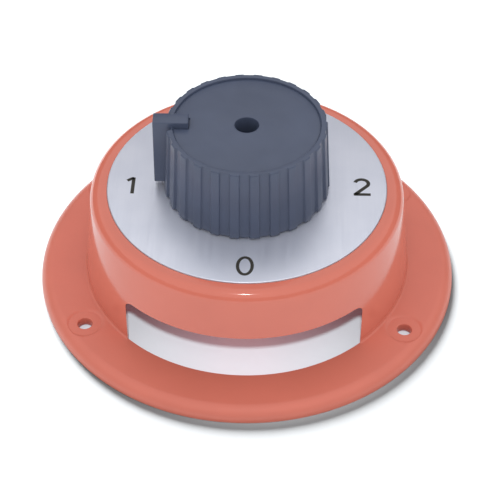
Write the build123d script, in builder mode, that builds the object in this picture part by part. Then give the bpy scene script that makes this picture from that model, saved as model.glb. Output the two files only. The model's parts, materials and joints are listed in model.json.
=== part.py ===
from build123d import *
import os
from math import cos, radians, sin, tan

# Rotary battery selector switch for surface mounting.
# Origin: centre of the flange's underside. +Z runs up the spindle, the cable window faces -Y.
# The knob is modelled at position 1, with its pointer towards -X. All sizes are in millimetres.

os.makedirs("parts", exist_ok=True)

# ---- housing: flange, drum wall and deck in one moulding -------------------------------------
flange_r = 67.5
flange_t = 4.5
flange_top_round = 4.0
flange_foot_round = 0.3
wall_foot_r = 52.5
wall_draft = 6.5
wall_t = 2.8
drum_h = 35.2
drum_shoulder = 3.4
deck_under_z = 32.2
dial_seat_depth = 0.4

window_w = 72.0
window_top_z = 19.0
window_corner = 2.5
window_reach = 25.0

screw_x = 50.0
screw_y = 32.0
screw_hole_r = 2.25
spot_face_r = 5.7
spot_face_depth = 0.35
relief_r = 5.5
relief_depth = 1.4

# ---- dial plate ------------------------------------------------------------------------------
dial_r = 43.9
dial_t = 0.8
dial_edge = 0.25
dial_gap = 0.1
dial_z = drum_h - dial_seat_depth
dial_top_z = dial_z + dial_t

# ---- spindle and its bush --------------------------------------------------------------------
running_gap = 0.08
fixed_gap = 0.05
spindle_r = 5.0
spindle_top_r = 4.0
spindle_flat = 3.2
spindle_shoulder_z = 43.5
spindle_top_z = 49.2
collar_r = 8.4
collar_z = 27.7
collar_t = 1.45
drive_square = 7.0
drive_gap = 0.1
drive_foot_z = 19.15
pilot_r = 3.5
pilot_end_z = 12.8
clip_groove_r = 2.7
clip_groove_z = 13.6
clip_groove_w = 0.8
clip_r = 6.0
clip_mouth = 2.8
clip_washer_r = 7.0

bush_r = 8.0
bush_top_z = 41.0
bush_flange_r = 9.6
bush_flange_t = 2.5
bush_bore_r = spindle_r + running_gap
seal_groove_r = 6.58
seal_groove_z = 37.2
seal_groove_w = 1.7
seal_wire_r = 0.75
seal_ring_r = 5.79

bush_washer_r = 12.4
bush_washer_t = 1.2
bush_nut_across = 22.0
bush_nut_t = 4.0
nut_chamfer = 0.5

thrust_washer_t = 0.5
thrust_gap = 0.05

# ---- detent: plate under the deck, two sprung balls in the rotor -----------------------------
detent_plate_t = 1.5
detent_plate_r = 23.5
detent_plate_bore_r = 10.2
detent_count = 4
pocket_circle_r = 14.5
pocket_r = 1.75
rivet_count = 4
rivet_circle_r = 20.8
rivet_head_r = 1.9
rivet_head_t = 0.8
rivet_shank_r = 1.2
rivet_end_z = 34.0
detent_plate_z = deck_under_z - detent_plate_t

ball_r = 2.0
ball_bore_r = ball_r + running_gap
ball_gap = 0.05
ball_centre_z = detent_plate_z - ball_gap - ball_r
detent_spring_r = 1.45
detent_spring_wire_r = 0.25
detent_spring_turns = 3.5
detent_spring_z = 23.6

# ---- rotor and its moving contact ------------------------------------------------------------
rotor_r = 18.0
rotor_z = 22.4
rotor_top_z = 30.2
rotor_pocket_r = 10.4
rotor_edge = 0.6
spring_recess_r = 10.6
spring_recess_in_r = 5.6
spring_recess_z = 23.6

moving_contact_r = 17.6
moving_contact_hub_r = 9.8
moving_contact_bore_r = 5.3
moving_contact_half_angle = 60.0
contact_t = 1.5
slide_gap = 0.05

contact_spring_in_r = 6.0
contact_spring_out_r = 10.0
contact_spring_t = 0.4

drive_pin_r = 1.25
drive_pin_circle_r = 13.5
drive_pin_angle = 35.0
drive_pin_z = 20.9
drive_pin_top_z = 26.0

# ---- terminal base, fixed contacts and studs -------------------------------------------------
base_r = 36.0
base_z = 15.0
base_top_z = 19.0
base_rim_r = 34.4
base_rim_z = 21.5
base_edge = 0.5
barrier_z = 7.0
barrier_t = 2.0
barrier_in_r = 8.0
barrier_out_r = 33.0

terminal_count = 3
stud_circle_r = 26.0
first_stud_angle = 30.0
stud_r = 4.0
stud_end_z = 3.0
stud_chamfer = 0.8
stud_head_across = 12.0
stud_head_t = 4.0
stud_gap = 0.1

pad_in_r = 11.8
pad_out_r = 17.8
pad_half_angle = 12.0
arm_w = 9.0
eye_r = 6.4
common_ring_in_r = 5.5
common_ring_out_r = 9.6
contact_top_z = base_top_z + contact_t

fixing_nut_t = 3.6
plain_washer_t = 1.2
plain_washer_r = 7.6
spring_washer_t = 1.4
spring_washer_r = 6.9
spring_washer_cut = 1.2
cable_nut_t = 4.4
stud_nut_across = 13.0

boss_count = 3
boss_circle_r = 30.0
first_boss_angle = 90.0
boss_r = 4.0
boss_pilot_r = 1.95
base_screw_recess_r = 4.6
boss_pilot_top_z = 28.5
base_screw_r = 1.9
base_screw_hole_r = 2.2
base_screw_head_r = 3.6
base_screw_head_t = 2.4
base_screw_end_z = 27.0
slot_w = 1.0
slot_depth = 1.1

gusset_t = 2.0
gusset_reach = 8.0
gusset_drop = 11.0
gusset_angles = (0.0, 30.0, 60.0, 120.0, 150.0, 180.0)

# ---- knob ------------------------------------------------------------------------------------
knob_z = 35.85
knob_rim_z = 59.8
knob_foot_r = 25.9
knob_top_r = 24.5
knob_disc_z = 59.1
knob_disc_r = 22.45
knob_bevel_r = 22.55
knob_rim_edge = 0.4
rib_count = 26
rib_depth = 0.6
rib_foot_w = 3.3
rib_tip_w = 2.8
skirt_foot_in_r = 21.6
skirt_top_in_r = 20.8
knob_roof_t = 3.0
hub_r = 8.6
web_count = 6
web_t = 1.8
web_foot_z = 48.0
web_start_r = 7.0
screw_well_r = 3.65
screw_well_z = 51.4
knob_screw_clear_r = 2.2

pointer_w = 4.8
pointer_in_r = 17.6
pointer_out_r = 28.4
pointer_foot_out_r = 28.8
pointer_top_z = 61.2
pointer_foot_z = 37.7
pointer_root_r = 22.4
pointer_edge = 0.35

insert_r = 6.2
insert_z = 43.7
insert_top_z = 49.4
insert_gap = 0.05

knob_screw_head_r = 3.4
knob_screw_head_t = 2.0
knob_screw_r = 2.0
knob_screw_end_z = 44.4
knob_screw_dome = 0.8
cross_w = 3.0
tapped_gap = 0.1

# overlap that roots one feature in another, and the smallest step that matters
root_lap = 1.0
eps = 0.01


def outline(points, plane=Plane.XZ):
    """Closed face through the points; on the default plane they are (radius, height)."""
    with BuildSketch(plane) as face:
        with BuildLine():
            Polyline(*points, close=True)
        make_face()
    return face.sketch


def ring_section(inner, outer, low, high):
    """Rectangle to revolve into a plain ring."""
    return outline([(inner, low), (outer, low), (outer, high), (inner, high)])


def wall_radius(height):
    """Outer radius of the drafted drum wall."""
    return wall_foot_r - (height - flange_t) * tan(radians(wall_draft))


def ring_edges(part, radius, height):
    """Circular edges of one radius, centred on the spindle axis at one height."""
    return part.edges().filter_by(GeomType.CIRCLE).filter_by(
        lambda edge: abs(edge.radius - radius) < eps and abs(edge.arc_center.Z - height) < eps
    )


def polar(radius, angle):
    """Point at a radius and an angle from +X."""
    return radius * cos(radians(angle)), radius * sin(radians(angle))


def sector(outer, inner, half_angle):
    """Flat ring sector about +X."""
    reach = 2 * outer
    tip = polar(reach, half_angle)
    far = polar(reach, half_angle / 2)
    with BuildSketch() as face:
        Circle(outer)
        Circle(inner, mode=Mode.SUBTRACT)
        with BuildLine():
            Polyline((0, 0), (tip[0], -tip[1]), (far[0], -far[1]), (far[0], far[1]), tip, close=True)
        make_face(mode=Mode.INTERSECT)
    return face.sketch


def save(builder, name):
    """Name the part and write its STEP file."""
    builder.part.label = name
    export_step(builder.part, f"parts/{name}.step")


def terminals():
    """Places of the three terminal studs."""
    return PolarLocations(stud_circle_r, terminal_count, start_angle=first_stud_angle)


def bosses():
    """Places of the bosses and screws that hold the terminal base."""
    return PolarLocations(boss_circle_r, boss_count, start_angle=first_boss_angle)


def rivets():
    """Places of the detent plate's rivets, midway between the pockets."""
    return PolarLocations(rivet_circle_r, rivet_count, start_angle=180 / rivet_count)


def pins():
    """Places of the two pins that drive the moving contact."""
    return Locations(*[
        polar(drive_pin_circle_r, 180 + side * drive_pin_angle) for side in (-1, 1)
    ])


# ---- housing ---------------------------------------------------------------------------------
wall_in = wall_t / cos(radians(wall_draft))
gusset_root_r = wall_radius(deck_under_z) - wall_in + root_lap

with BuildPart() as window_void:
    with BuildSketch(Plane.XZ.offset(window_reach)):
        RectangleRounded(window_w, 2 * window_top_z, window_corner)
    extrude(amount=wall_foot_r)
    Cylinder(wall_foot_r, 4 * window_top_z, mode=Mode.INTERSECT)

with BuildPart() as housing:
    revolve(
        outline([
            (bush_r + fixed_gap, deck_under_z),
            (wall_radius(deck_under_z) - wall_in, deck_under_z),
            (wall_radius(0) - wall_in, 0),
            (flange_r, 0),
            (flange_r, flange_t),
            (wall_foot_r, flange_t),
            (wall_radius(drum_h), drum_h),
            (dial_r + dial_gap, drum_h),
            (dial_r + dial_gap, dial_z),
            (bush_r + fixed_gap, dial_z),
        ]),
        axis=Axis.Z,
    )
    fillet(ring_edges(housing, wall_radius(drum_h), drum_h), drum_shoulder)
    fillet(ring_edges(housing, flange_r, flange_t), flange_top_round)
    fillet(ring_edges(housing, flange_r, 0), flange_foot_round)
    # stiffening gussets between the deck and the wall
    for angle in gusset_angles:
        web = outline(
            [
                (gusset_root_r - root_lap - gusset_reach, deck_under_z + eps),
                (gusset_root_r, deck_under_z + eps),
                (gusset_root_r, deck_under_z - gusset_drop),
            ],
            Plane.XZ.rotated((0, 0, angle)),
        )
        extrude(web, amount=gusset_t / 2, both=True)
    # bosses that carry the terminal base
    with Locations((0, 0, base_top_z)):
        with bosses():
            Cylinder(boss_r, deck_under_z - base_top_z + eps,
                     align=(Align.CENTER, Align.CENTER, Align.MIN))
            Cylinder(boss_pilot_r, boss_pilot_top_z - base_top_z,
                     align=(Align.CENTER, Align.CENTER, Align.MIN), mode=Mode.SUBTRACT)
    # rivet holes in the deck
    with Locations((0, 0, deck_under_z)):
        with rivets():
            Cylinder(rivet_shank_r + fixed_gap, rivet_end_z + fixed_gap - deck_under_z,
                     align=(Align.CENTER, Align.CENTER, Align.MIN), mode=Mode.SUBTRACT)
    # four mounting screw holes, spot-faced from above
    with Locations((0, 0, flange_t)):
        with GridLocations(2 * screw_x, 2 * screw_y, 2, 2):
            CounterBoreHole(screw_hole_r, spot_face_r, spot_face_depth, depth=2 * flange_t)
    # relief round each screw hole on the underside
    with GridLocations(2 * screw_x, 2 * screw_y, 2, 2):
        Cylinder(relief_r, relief_depth,
                 align=(Align.CENTER, Align.CENTER, Align.MIN), mode=Mode.SUBTRACT)
    # cable window: the drum wall is cut away down to the mounting surface
    add(window_void.part, mode=Mode.SUBTRACT)
save(housing, "housing")

# ---- dial plate ------------------------------------------------------------------------------
with BuildPart() as dial_plate:
    revolve(ring_section(bush_r + dial_gap, dial_r, dial_z, dial_top_z), axis=Axis.Z)
    chamfer(ring_edges(dial_plate, dial_r, dial_top_z), dial_edge)
save(dial_plate, "dial_plate")

# ---- spindle bush, seal, washer and nut ------------------------------------------------------
with BuildPart() as spindle_bush:
    revolve(
        outline([
            (bush_bore_r, deck_under_z - bush_flange_t),
            (bush_flange_r, deck_under_z - bush_flange_t),
            (bush_flange_r, deck_under_z),
            (bush_r, deck_under_z),
            (bush_r, bush_top_z),
            (bush_bore_r, bush_top_z),
            (bush_bore_r, seal_groove_z + seal_groove_w),
            (seal_groove_r, seal_groove_z + seal_groove_w),
            (seal_groove_r, seal_groove_z),
            (bush_bore_r, seal_groove_z),
        ]),
        axis=Axis.Z,
    )
    chamfer(ring_edges(spindle_bush, bush_r, bush_top_z), nut_chamfer)
save(spindle_bush, "spindle_bush")

with BuildPart() as shaft_seal:
    with Locations((0, 0, seal_groove_z + seal_groove_w / 2)):
        Torus(seal_ring_r, seal_wire_r)
save(shaft_seal, "shaft_seal")

with BuildPart() as bush_washer:
    revolve(
        ring_section(bush_r + dial_gap, bush_washer_r, dial_top_z, dial_top_z + bush_washer_t),
        axis=Axis.Z,
    )
save(bush_washer, "bush_washer")

bush_nut_z = dial_top_z + bush_washer_t
with BuildPart() as bush_nut:
    with BuildSketch(Plane.XY.offset(bush_nut_z)):
        RegularPolygon(bush_nut_across / 2, 6, major_radius=False)
        Circle(bush_r + fixed_gap, mode=Mode.SUBTRACT)
    extrude(amount=bush_nut_t)
    chamfer(bush_nut.faces().sort_by(Axis.Z)[-1].outer_wire().edges(), nut_chamfer)
save(bush_nut, "bush_nut")

# ---- detent plate and its rivets -------------------------------------------------------------
with BuildPart() as detent_plate:
    revolve(
        ring_section(detent_plate_bore_r, detent_plate_r, detent_plate_z, deck_under_z), axis=Axis.Z
    )
    with Locations((0, 0, detent_plate_z)):
        with PolarLocations(pocket_circle_r, detent_count):
            Cylinder(pocket_r, detent_plate_t,
                     align=(Align.CENTER, Align.CENTER, Align.MIN), mode=Mode.SUBTRACT)
        with rivets():
            Cylinder(rivet_shank_r + fixed_gap, detent_plate_t,
                     align=(Align.CENTER, Align.CENTER, Align.MIN), mode=Mode.SUBTRACT)
save(detent_plate, "detent_plate")

with BuildPart() as detent_rivets:
    with Locations((0, 0, detent_plate_z)):
        with rivets():
            Cylinder(rivet_head_r, rivet_head_t, align=(Align.CENTER, Align.CENTER, Align.MAX))
            Cylinder(rivet_shank_r, rivet_end_z - detent_plate_z,
                     align=(Align.CENTER, Align.CENTER, Align.MIN))
save(detent_rivets, "detent_rivets")

# ---- spindle and thrust washer ---------------------------------------------------------------
with BuildPart() as spindle:
    revolve(
        outline([
            (0, pilot_end_z),
            (pilot_r, pilot_end_z),
            (pilot_r, clip_groove_z),
            (clip_groove_r, clip_groove_z),
            (clip_groove_r, clip_groove_z + clip_groove_w),
            (pilot_r, clip_groove_z + clip_groove_w),
            (pilot_r, collar_z),
            (collar_r, collar_z),
            (collar_r, collar_z + collar_t),
            (spindle_r, collar_z + collar_t),
            (spindle_r, spindle_shoulder_z),
            (spindle_top_r, spindle_shoulder_z),
            (spindle_top_r, spindle_top_z),
            (0, spindle_top_z),
        ]),
        axis=Axis.Z,
    )
    with Locations((0, 0, drive_foot_z)):
        Box(drive_square, drive_square, collar_z - drive_foot_z,
            align=(Align.CENTER, Align.CENTER, Align.MIN))
    # flat on the top section that turns with the knob
    with Locations((spindle_flat, 0, spindle_shoulder_z)):
        Box(spindle_r, 2 * spindle_r, spindle_top_z,
            align=(Align.MIN, Align.CENTER, Align.MIN), mode=Mode.SUBTRACT)
    # tapped end for the knob screw
    with Locations((0, 0, knob_screw_end_z - tapped_gap)):
        Cylinder(knob_screw_r + fixed_gap, spindle_top_z,
                 align=(Align.CENTER, Align.CENTER, Align.MIN), mode=Mode.SUBTRACT)
save(spindle, "spindle")

thrust_z = collar_z + collar_t
with BuildPart() as thrust_washer:
    revolve(
        ring_section(spindle_r + drive_gap, collar_r, thrust_z, thrust_z + thrust_washer_t),
        axis=Axis.Z,
    )
save(thrust_washer, "thrust_washer")

# ---- rotor -----------------------------------------------------------------------------------
ball_angles = (90.0, 270.0)

with BuildPart() as rotor:
    revolve(
        outline([
            (0, rotor_z),
            (spring_recess_in_r, rotor_z),
            (spring_recess_in_r, spring_recess_z),
            (spring_recess_r, spring_recess_z),
            (spring_recess_r, rotor_z),
            (rotor_r, rotor_z),
            (rotor_r, rotor_top_z),
            (rotor_pocket_r, rotor_top_z),
            (rotor_pocket_r, collar_z),
            (0, collar_z),
        ]),
        axis=Axis.Z,
    )
    chamfer(ring_edges(rotor, rotor_r, rotor_top_z), rotor_edge)
    with BuildSketch(Plane.XY.offset(rotor_z)):
        Rectangle(drive_square + 2 * fixed_gap, drive_square + 2 * fixed_gap)
    extrude(amount=collar_z - rotor_z, mode=Mode.SUBTRACT)
    with Locations((0, 0, detent_spring_z)):
        with PolarLocations(pocket_circle_r, len(ball_angles), start_angle=ball_angles[0]):
            Cylinder(ball_bore_r, rotor_top_z - detent_spring_z,
                     align=(Align.CENTER, Align.CENTER, Align.MIN), mode=Mode.SUBTRACT)
    with Locations((0, 0, rotor_z)):
        with pins():
            Cylinder(drive_pin_r + fixed_gap, drive_pin_top_z + fixed_gap - rotor_z,
                     align=(Align.CENTER, Align.CENTER, Align.MIN), mode=Mode.SUBTRACT)
save(rotor, "rotor")

# ---- detent balls and springs ----------------------------------------------------------------
spring_len = ball_centre_z - ball_r - detent_spring_z
for side, angle in zip(("rear", "front"), ball_angles):
    x, y = polar(pocket_circle_r, angle)
    with BuildPart() as detent_ball:
        with Locations((x, y, ball_centre_z)):
            Sphere(ball_r)
    save(detent_ball, f"detent_ball_{side}")

    wire_len = spring_len - 2 * detent_spring_wire_r - 2 * eps
    with BuildPart() as detent_spring:
        with BuildLine(Plane.XY.offset(detent_spring_z + detent_spring_wire_r + eps)) as path:
            Helix(wire_len / detent_spring_turns, wire_len, detent_spring_r)
        with BuildSketch(Plane(origin=path.line @ 0, z_dir=path.line % 0)):
            Circle(detent_spring_wire_r)
        sweep()
    detent_spring.part.position = (x, y, 0)
    save(detent_spring, f"detent_spring_{side}")

# ---- moving contact, its spring and drive pins -----------------------------------------------
moving_z = contact_top_z + slide_gap
half_turn = Location((0, 0, 0), (0, 0, 180))

with BuildPart() as moving_contact:
    with BuildSketch(Plane.XY.offset(moving_z)) as blade:
        Circle(moving_contact_hub_r)
        add(half_turn * sector(moving_contact_r, moving_contact_bore_r, moving_contact_half_angle))
        Circle(moving_contact_bore_r, mode=Mode.SUBTRACT)
    extrude(amount=contact_t)
    with Locations((0, 0, moving_z)):
        with pins():
            Cylinder(drive_pin_r + drive_gap, contact_t,
                     align=(Align.CENTER, Align.CENTER, Align.MIN), mode=Mode.SUBTRACT)
save(moving_contact, "moving_contact")

with BuildPart() as drive_pins:
    with Locations((0, 0, drive_pin_z)):
        with pins():
            Cylinder(drive_pin_r, drive_pin_top_z - drive_pin_z,
                     align=(Align.CENTER, Align.CENTER, Align.MIN))
save(drive_pins, "drive_pins")

with BuildPart() as contact_spring:
    low_z = moving_z + contact_t
    revolve(
        outline([
            (contact_spring_out_r, low_z),
            (contact_spring_out_r, low_z + contact_spring_t),
            (contact_spring_in_r, spring_recess_z),
            (contact_spring_in_r, spring_recess_z - contact_spring_t),
        ]),
        axis=Axis.Z,
    )
save(contact_spring, "contact_spring")

# ---- terminal base ---------------------------------------------------------------------------
with BuildPart() as terminal_base:
    revolve(
        outline([
            (pilot_r + running_gap, base_z),
            (base_r, base_z),
            (base_r, base_rim_z),
            (base_rim_r, base_rim_z),
            (base_rim_r, base_top_z),
            (pilot_r + running_gap, base_top_z),
        ]),
        axis=Axis.Z,
    )
    chamfer(ring_edges(terminal_base, base_r, base_z), base_edge)
    # barriers between the terminals, below the base
    barrier_len = barrier_out_r - barrier_in_r
    with Locations((0, 0, base_z + eps)):
        with PolarLocations(barrier_in_r + barrier_len / 2, terminal_count,
                            start_angle=first_boss_angle):
            Box(barrier_len, barrier_t, base_z - barrier_z,
                align=(Align.CENTER, Align.CENTER, Align.MAX))
    with Locations((0, 0, base_z)):
        with bosses():
            Cylinder(base_screw_recess_r, base_z,
                     align=(Align.CENTER, Align.CENTER, Align.MAX), mode=Mode.SUBTRACT)
            Cylinder(base_screw_hole_r, base_top_z - base_z,
                     align=(Align.CENTER, Align.CENTER, Align.MIN), mode=Mode.SUBTRACT)
        with terminals():
            Cylinder(stud_r + stud_gap, base_top_z - base_z,
                     align=(Align.CENTER, Align.CENTER, Align.MIN), mode=Mode.SUBTRACT)
save(terminal_base, "terminal_base")

# ---- base screws -----------------------------------------------------------------------------
with BuildPart() as base_screws:
    with Locations((0, 0, base_z)):
        with bosses():
            Cylinder(base_screw_head_r, base_screw_head_t,
                     align=(Align.CENTER, Align.CENTER, Align.MAX))
            Cylinder(base_screw_r, base_screw_end_z - base_z,
                     align=(Align.CENTER, Align.CENTER, Align.MIN))
    with Locations((0, 0, base_z - base_screw_head_t)):
        with bosses():
            Box(2 * base_screw_head_r, slot_w, slot_depth,
                align=(Align.CENTER, Align.CENTER, Align.MIN), mode=Mode.SUBTRACT)
save(base_screws, "base_screws")

# ---- fixed contacts --------------------------------------------------------------------------
stud_angles = [first_stud_angle + step * 360 / terminal_count for step in range(terminal_count)]


def contact_arm(inner):
    """Arm from a contact face out to the eye under a stud's head, along +X."""
    with BuildSketch() as arm:
        with Locations(((inner + stud_circle_r) / 2, 0)):
            Rectangle(stud_circle_r - inner, arm_w)
        with Locations((stud_circle_r, 0)):
            Circle(eye_r)
            Circle(stud_r + stud_gap, mode=Mode.SUBTRACT)
    return arm.sketch


for name, angle in zip(("contact_2", "contact_1"), stud_angles):
    with BuildPart() as contact:
        with BuildSketch(Plane.XY.offset(base_top_z).rotated((0, 0, angle))):
            add(sector(pad_out_r, pad_in_r, pad_half_angle))
            add(contact_arm(pad_out_r - root_lap))
        extrude(amount=contact_t)
    save(contact, name)

with BuildPart() as contact_common:
    with BuildSketch(Plane.XY.offset(base_top_z).rotated((0, 0, stud_angles[-1]))):
        Circle(common_ring_out_r)
        add(contact_arm(common_ring_out_r - root_lap))
        Circle(common_ring_in_r, mode=Mode.SUBTRACT)
    extrude(amount=contact_t)
save(contact_common, "contact_common")

# ---- terminal studs with their nuts and washers ----------------------------------------------
for name, angle in zip(("stud_2", "stud_1", "stud_common"), stud_angles):
    x, y = polar(stud_circle_r, angle)
    with BuildPart() as stud:
        with BuildSketch(Plane.XY.offset(contact_top_z)):
            with Locations((x, y)):
                RegularPolygon(stud_head_across / 2, 6, major_radius=False)
        extrude(amount=stud_head_t)
        chamfer(stud.faces().sort_by(Axis.Z)[-1].edges(), nut_chamfer)
        with Locations((x, y, stud_end_z)):
            Cylinder(stud_r, contact_top_z - stud_end_z,
                     align=(Align.CENTER, Align.CENTER, Align.MIN))
        chamfer(stud.edges().filter_by(GeomType.CIRCLE).sort_by(Axis.Z)[0], stud_chamfer)
    save(stud, name)


def stacked_nuts(name, top_z, thickness):
    """One hex nut per stud, hanging below top_z."""
    with BuildPart() as nuts:
        with BuildSketch(Plane.XY.offset(top_z)):
            with terminals():
                RegularPolygon(stud_nut_across / 2, 6, major_radius=False)
                Circle(stud_r + stud_gap, mode=Mode.SUBTRACT)
        extrude(amount=-thickness)
    save(nuts, name)


def stacked_washers(name, top_z, thickness, radius, cut=0.0):
    """One washer per stud, hanging below top_z; a spring washer has a cut."""
    with BuildPart() as washers:
        with BuildSketch(Plane.XY.offset(top_z)):
            with terminals():
                Circle(radius)
                Circle(stud_r + stud_gap, mode=Mode.SUBTRACT)
            if cut:
                with PolarLocations(stud_circle_r - radius, terminal_count,
                                    start_angle=first_stud_angle):
                    Rectangle(radius, cut, mode=Mode.SUBTRACT)
        extrude(amount=-thickness)
    save(washers, name)


fixing_nut_z = base_z
plain_washer_z = fixing_nut_z - fixing_nut_t
spring_washer_z = plain_washer_z - plain_washer_t
cable_nut_z = spring_washer_z - spring_washer_t
stacked_nuts("fixing_nuts", fixing_nut_z, fixing_nut_t)
stacked_washers("plain_washers", plain_washer_z, plain_washer_t, plain_washer_r)
stacked_washers("spring_washers", spring_washer_z, spring_washer_t, spring_washer_r,
                spring_washer_cut)
stacked_nuts("cable_nuts", cable_nut_z, cable_nut_t)

# ---- retaining clip and its washer at the spindle's foot -------------------------------------
clip_washer_z = clip_groove_z + clip_groove_w
with BuildPart() as clip_washer:
    revolve(
        ring_section(pilot_r + fixed_gap, clip_washer_r, clip_washer_z, base_z - thrust_gap),
        axis=Axis.Z,
    )
save(clip_washer, "clip_washer")

with BuildPart() as retaining_clip:
    with BuildSketch(Plane.XY.offset(clip_groove_z)):
        Circle(clip_r)
        Circle(clip_groove_r + fixed_gap, mode=Mode.SUBTRACT)
        with Locations((0, -clip_r / 2)):
            Rectangle(clip_mouth, clip_r, mode=Mode.SUBTRACT)
    extrude(amount=clip_groove_w)
save(retaining_clip, "retaining_clip")

# ---- knob ------------------------------------------------------------------------------------
with BuildPart() as rib:
    for height, tip_r in ((knob_z, knob_foot_r), (knob_rim_z, knob_top_r)):
        root_r = tip_r - 2 * rib_depth
        with BuildSketch(Plane.XY.offset(height)):
            Polygon((root_r, -rib_foot_w / 2), (tip_r, -rib_tip_w / 2),
                    (tip_r, rib_tip_w / 2), (root_r, rib_foot_w / 2), align=None)
    loft()

with BuildPart() as knob:
    revolve(
        outline([
            (0, knob_rim_z - knob_roof_t),
            (skirt_top_in_r, knob_rim_z - knob_roof_t),
            (skirt_foot_in_r, knob_z),
            (knob_foot_r - rib_depth, knob_z),
            (knob_top_r - rib_depth, knob_rim_z),
            (knob_bevel_r, knob_rim_z),
            (knob_disc_r, knob_disc_z),
            (0, knob_disc_z),
        ]),
        axis=Axis.Z,
    )
    with PolarLocations(0, rib_count):
        add(rib.part)
    # soften the rib tops into the rim
    revolve(
        outline([
            (knob_top_r - knob_rim_edge, knob_rim_z + eps),
            (knob_top_r + knob_rim_edge, knob_rim_z + eps),
            (knob_top_r + knob_rim_edge, knob_rim_z - knob_rim_edge),
            (knob_top_r + eps, knob_rim_z - knob_rim_edge),
        ]),
        axis=Axis.Z,
        mode=Mode.SUBTRACT,
    )
    # hub over the brass insert, tied to the skirt by webs
    with Locations((0, 0, spindle_shoulder_z)):
        Cylinder(hub_r, knob_rim_z - knob_roof_t - spindle_shoulder_z + eps,
                 align=(Align.CENTER, Align.CENTER, Align.MIN))
    web_len = skirt_top_in_r + root_lap - web_start_r
    with Locations((0, 0, web_foot_z)):
        with PolarLocations(web_start_r + web_len / 2, web_count):
            Box(web_len, web_t, knob_rim_z - knob_roof_t - web_foot_z + eps,
                align=(Align.CENTER, Align.CENTER, Align.MIN))
    # pointer: a raised bar over the rim that turns down the side as a fin
    with BuildSketch(Plane.XZ.rotated((0, 0, 180))):
        with BuildLine():
            Polyline(
                (pointer_in_r, knob_disc_z - root_lap), (pointer_in_r, pointer_top_z),
                (pointer_out_r, pointer_top_z), (pointer_foot_out_r, pointer_foot_z),
                (pointer_root_r, pointer_foot_z), (pointer_root_r, knob_disc_z - root_lap), close=True,
            )
        make_face()
    extrude(amount=pointer_w / 2, both=True)
    chamfer(
        knob.faces().filter_by(Axis.Z).sort_by(Axis.Z)[-1].edges(), pointer_edge
    )
    # well for the knob screw and the pocket of the insert
    with Locations((0, 0, screw_well_z)):
        Cylinder(screw_well_r, knob_roof_t + knob_rim_z - screw_well_z,
                 align=(Align.CENTER, Align.CENTER, Align.MIN), mode=Mode.SUBTRACT)
    with Locations((0, 0, insert_top_z)):
        Cylinder(knob_screw_clear_r, screw_well_z - insert_top_z,
                 align=(Align.CENTER, Align.CENTER, Align.MIN), mode=Mode.SUBTRACT)
    with Locations((0, 0, spindle_shoulder_z)):
        Cylinder(insert_r + insert_gap, insert_top_z - spindle_shoulder_z,
                 align=(Align.CENTER, Align.CENTER, Align.MIN), mode=Mode.SUBTRACT)
save(knob, "knob")

# ---- insert and screw of the knob ------------------------------------------------------------
with BuildPart() as knob_insert:
    with Locations((0, 0, insert_z)):
        Cylinder(insert_r, insert_top_z - insert_z, align=(Align.CENTER, Align.CENTER, Align.MIN))
    with BuildSketch(Plane.XY.offset(insert_z)):
        Circle(spindle_top_r + fixed_gap)
        with Locations((spindle_flat + fixed_gap, 0)):
            Rectangle(spindle_r, 2 * spindle_r, align=(Align.MIN, Align.CENTER),
                      mode=Mode.SUBTRACT)
    extrude(amount=insert_top_z - insert_z, mode=Mode.SUBTRACT)
save(knob_insert, "knob_insert")

with BuildPart() as knob_screw:
    with Locations((0, 0, screw_well_z)):
        Cylinder(knob_screw_head_r, knob_screw_head_t,
                 align=(Align.CENTER, Align.CENTER, Align.MIN))
        Cylinder(knob_screw_r, screw_well_z - knob_screw_end_z,
                 align=(Align.CENTER, Align.CENTER, Align.MAX))
    fillet(ring_edges(knob_screw, knob_screw_head_r, screw_well_z + knob_screw_head_t),
           knob_screw_dome)
    with Locations((0, 0, screw_well_z + knob_screw_head_t)):
        with PolarLocations(0, 2, angular_range=180):
            Box(cross_w, slot_w, 2 * slot_depth, mode=Mode.SUBTRACT)
save(knob_screw, "knob_screw")
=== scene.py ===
"""Rotary battery selector switch: fine meshes, materials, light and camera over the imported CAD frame.

Object frame: origin at the centre of the flange's underside, +Z up the spindle, cable window towards -Y.
A mesh is drawn in millimetres and is in metres on the finished object; MM is the scale.
"""

import json
import math

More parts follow.
